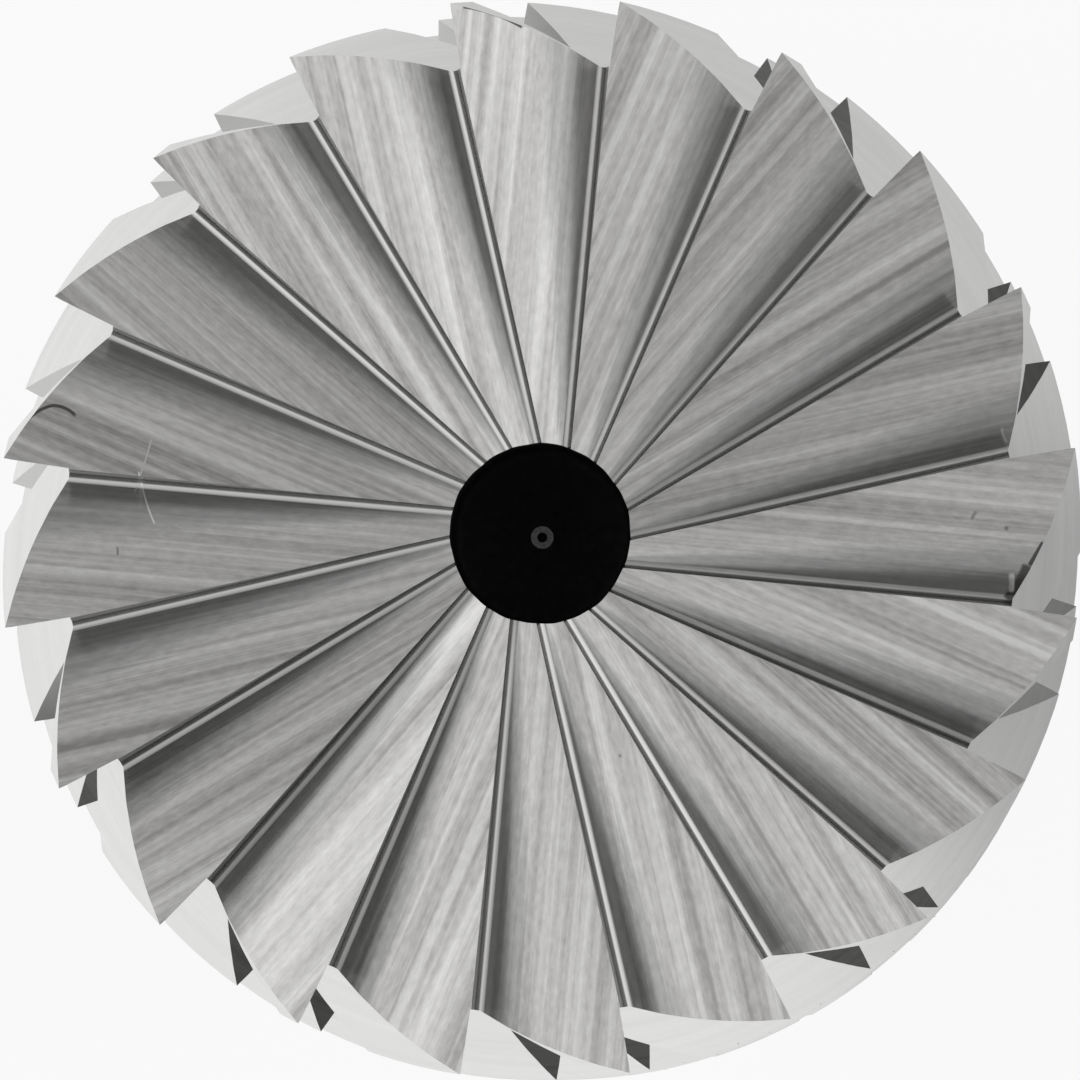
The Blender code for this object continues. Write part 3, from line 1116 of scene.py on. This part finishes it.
def mirrored_floor(tree, inside):
    """How bright the floor is where the metal mirrors it, with painted shade and a painted shadow in it.
    """
    across, up, _ = separated(tree, inside)
    slanted = weighted(tree, across, (up, FLOOR_SLANT))
    level = spread(tree, slanted, FLOOR_DIMMING, (1.0, FLOOR_GREYEST), smooth=True)
    from_spot = vector_node(tree, "DISTANCE", inside, SHADOW_SPOT_PLACE)
    dark = spread(tree, from_spot, SHADOW_SPOT_EDGE, (SHADOW_SPOT_DARKNESS, 0.0), smooth=True)
    level = math_node(tree, "SUBTRACT", level, dark)
    outward = vector_node(tree, "NORMALIZE", inside)
    far = spread(tree, vector_node(tree, "LENGTH", inside), FLAG_START, smooth=True)
    for bearing, _, inner, outer, strength in TENT_FLAGS:
        dark = patch(tree, outward, (bearing, FLAG_ON_FLOOR, inner, outer, strength))
        dark = math_node(tree, "MULTIPLY", dark, far)
        level = math_node(tree, "SUBTRACT", level, dark)
    return level


def pale_floor():
    """Matt pale floor that stays light in the picture and in reflections, where painted shade dims it,
    and keeps the shadow.
    """
    material, tree, shader = new_material("pale_floor")
    inside = object_place(tree)
    cloud = noise(tree, inside, (30.0, 30.0, 30.0))
    share = spread(tree, cloud, NOISE_RANGE)
    colour = mixed_colour(tree, share, (0.94, 0.94, 0.94), (0.97, 0.97, 0.97))
    tree.links.new(colour, shader.inputs["Base Color"])
    shader.inputs["Roughness"].default_value = 0.9
    shader.inputs["Specular IOR Level"].default_value = 0.1
    seen = add(tree, "ShaderNodeLightPath").outputs
    rays = math_node(tree, "MAXIMUM", seen["Is Camera Ray"], seen["Is Glossy Ray"])
    rays = math_node(tree, "MAXIMUM", rays, seen["Is Transmission Ray"])
    # Reflections see the floor's glow with painted shade and a painted shadow; the camera sees it plain
    level = mixed_value(tree, seen["Is Camera Ray"], mirrored_floor(tree, inside), 1.0)
    glow = add(tree, "ShaderNodeEmission")
    tree.links.new(level, glow.inputs["Color"])
    blend = add(tree, "ShaderNodeMixShader")
    tree.links.new(math_node(tree, "MULTIPLY", rays, FLOOR_GLOW), blend.inputs["Fac"])
    tree.links.new(shader.outputs[0], blend.inputs[1])
    tree.links.new(glow.outputs[0], blend.inputs[2])
    tree.links.new(blend.outputs[0], tree.nodes["Material Output"].inputs["Surface"])
    return material


def light_tent():
    """The world: white to the camera, and a tent with boxes and flags to everything else."""
    world = bpy.data.worlds.new("light_tent")
    bpy.context.scene.world = world
    world.use_nodes = True
    tree = world.node_tree
    direction = add(tree, "ShaderNodeTexCoord").outputs["Generated"]
    up = separated(tree, direction)["Z"]
    level = TENT_CEILING
    for box in TENT_BOXES:
        level = math_node(tree, "ADD", patch(tree, direction, box), level)
    opening = spread(tree, up, [math.cos(angle) for angle in OPENING_EDGE], smooth=True)
    level = mixed_value(tree, opening, level, TENT_OPENING)
    horizon = [math.cos(angle) for angle in HORIZON_EDGE]
    low = spread(tree, up, horizon, (1.0, 0.0), smooth=True)
    dimmed = 1.0
    for flag in TENT_FLAGS:
        dimmed = math_node(tree, "SUBTRACT", dimmed, patch(tree, direction, flag))
    level = mixed_value(tree, low, level, dimmed)
    seen = add(tree, "ShaderNodeLightPath").outputs["Is Camera Ray"]
    level = mixed_value(tree, seen, level, 1.0)
    background = tree.nodes["Background"]
    tree.links.new(level, background.inputs["Color"])
    background.inputs["Strength"].default_value = 1.0


# The pieces


def smooth_edges(thing):
    thing.data.shade_smooth()
    thing.data.set_sharp_from_angle(angle=SMOOTH_BELOW)


def rounded(corner, before, after, radius):
    """Points that round the corner of an outline."""
    corner = Vector(corner)
    start = corner + (Vector(before) - corner).normalized() * radius
    end = corner + (Vector(after) - corner).normalized() * radius
    points = []
    for step in range(ROUNDING_STEPS + 1):
        share = step / ROUNDING_STEPS
        points.append(
            tuple(start * (1 - share) ** 2 + corner * 2 * share * (1 - share) + end * share**2)
        )
    return points


def ground_shank():
    radius = SHANK_RADIUS
    corners = [
        (0.0, SHANK_TOP),
        (radius - JOINT_CHAMFER, SHANK_TOP),
        (radius, SHANK_TOP - JOINT_CHAMFER),
        (radius, FOOT_CHAMFER),
        (radius - FOOT_CHAMFER, 0.0),
        (0.0, 0.0),
    ]
    outline = corners[:3]
    outline += rounded(corners[3], corners[2], corners[4], FOOT_ROUNDING)
    outline += rounded(corners[4], corners[3], corners[5], FOOT_ROUNDING)
    outline.append(corners[5])
    shank = turned("shank_ground", outline)
    smooth_edges(shank)
    shank.data.materials.append(ground_steel())
    return shank


def solder_fillet():
    """The solder, whose hollow fillet wavers a little round the joint."""
    lip = (SHANK_RADIUS + BRAZE_CLEARANCE, SHANK_TOP - JOINT_CHAMFER)
    rise = HEAD_BOTTOM - lip[1]
    outline = [(0.0, HEAD_BOTTOM)]
    for step in range(BRAZE_STEPS + 1):
        angle = math.pi / 2 * step / BRAZE_STEPS
        outline.append(
            (lip[0] + BRAZE_LEG * (1 - math.sin(angle)), lip[1] + rise * math.cos(angle))
        )
    outline.append((SHANK_RADIUS - JOINT_CHAMFER + BRAZE_CLEARANCE, SHANK_TOP))
    outline.append((0.0, SHANK_TOP))
    braze = turned("braze_seam_fillet", outline)
    for vertex in braze.data.vertices:
        radius = math.hypot(vertex.co.x, vertex.co.y)
        if radius < lip[0] + HAIR:
            continue
        wave = 0.5 + wave_round(bearing_of(vertex.co), BRAZE_WAVES)
        shrink = 1 - BRAZE_WAVER * wave * (radius - lip[0]) / radius
        vertex.co.x *= shrink
        vertex.co.y *= shrink
    smooth_edges(braze)
    braze.data.materials.append(silver_braze())
    return braze


def make_floor():
    mesh = bpy.data.meshes.new("floor")
    corners = [
        (-FLOOR_REACH, -FLOOR_REACH, FLOOR_LEVEL),
        (FLOOR_REACH, -FLOOR_REACH, FLOOR_LEVEL),
        (FLOOR_REACH, FLOOR_REACH, FLOOR_LEVEL),
        (-FLOOR_REACH, FLOOR_REACH, FLOOR_LEVEL),
    ]
    mesh.from_pydata(corners, [], [(0, 1, 2, 3)])
    floor = new_object("floor", mesh)
    mesh.materials.append(pale_floor())


CAMERA_DISTANCE = 280 * MM
CAMERA_RIGHT = 0.73 * DEGREE
CAMERA_DOWN = 1.21 * DEGREE
CAMERA_AIM = Vector((0.0, -0.025 * MM, HEAD_TOP))
VIEW_WIDTH = 11.94 * MM
CAMERA_CLIP = (0.01, 20.0)


def make_camera():
    """The photograph's view: down the axis from 28 cm, a degree or so off it."""
    data = bpy.data.cameras.new("camera")
    camera = new_object("camera", data)
    off_axis = Vector((math.sin(CAMERA_RIGHT), -math.sin(CAMERA_DOWN), math.cos(CAMERA_DOWN)))
    camera.location = CAMERA_AIM + CAMERA_DISTANCE * off_axis
    forward = (CAMERA_AIM - camera.location).normalized()
    right = forward.cross(Vector((0, 1, 0))).normalized()
    above = right.cross(forward)
    camera.rotation_euler = Matrix((right, above, -forward)).transposed().to_euler()
    data.lens = data.sensor_width * CAMERA_DISTANCE / VIEW_WIDTH
    data.clip_start, data.clip_end = CAMERA_CLIP
    bpy.context.scene.camera = camera


# In the order of END_GRIND to PRESSED
HEAD_MATERIALS = (
    end_carbide,
    root_carbide,
    shaded_wall_carbide,
    side_carbide,
    shaded_breaker_carbide,
    shaded_sintered_carbide,
    pressed_pip,
)

head = ground_head()
dress_head(head, [make() for make in HEAD_MATERIALS])
shank = ground_shank()
braze = solder_fillet()
for piece, node, slot in (
    (head, "cutting_head", "tungsten_carbide"),
    (shank, "shank", "shank_steel"),
    (braze, "braze_seam", "silver_braze"),
):
    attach(piece, "root")
    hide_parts(node)

make_floor()
light_tent()
make_camera()
bpy.context.scene.view_settings.view_transform = "Standard"
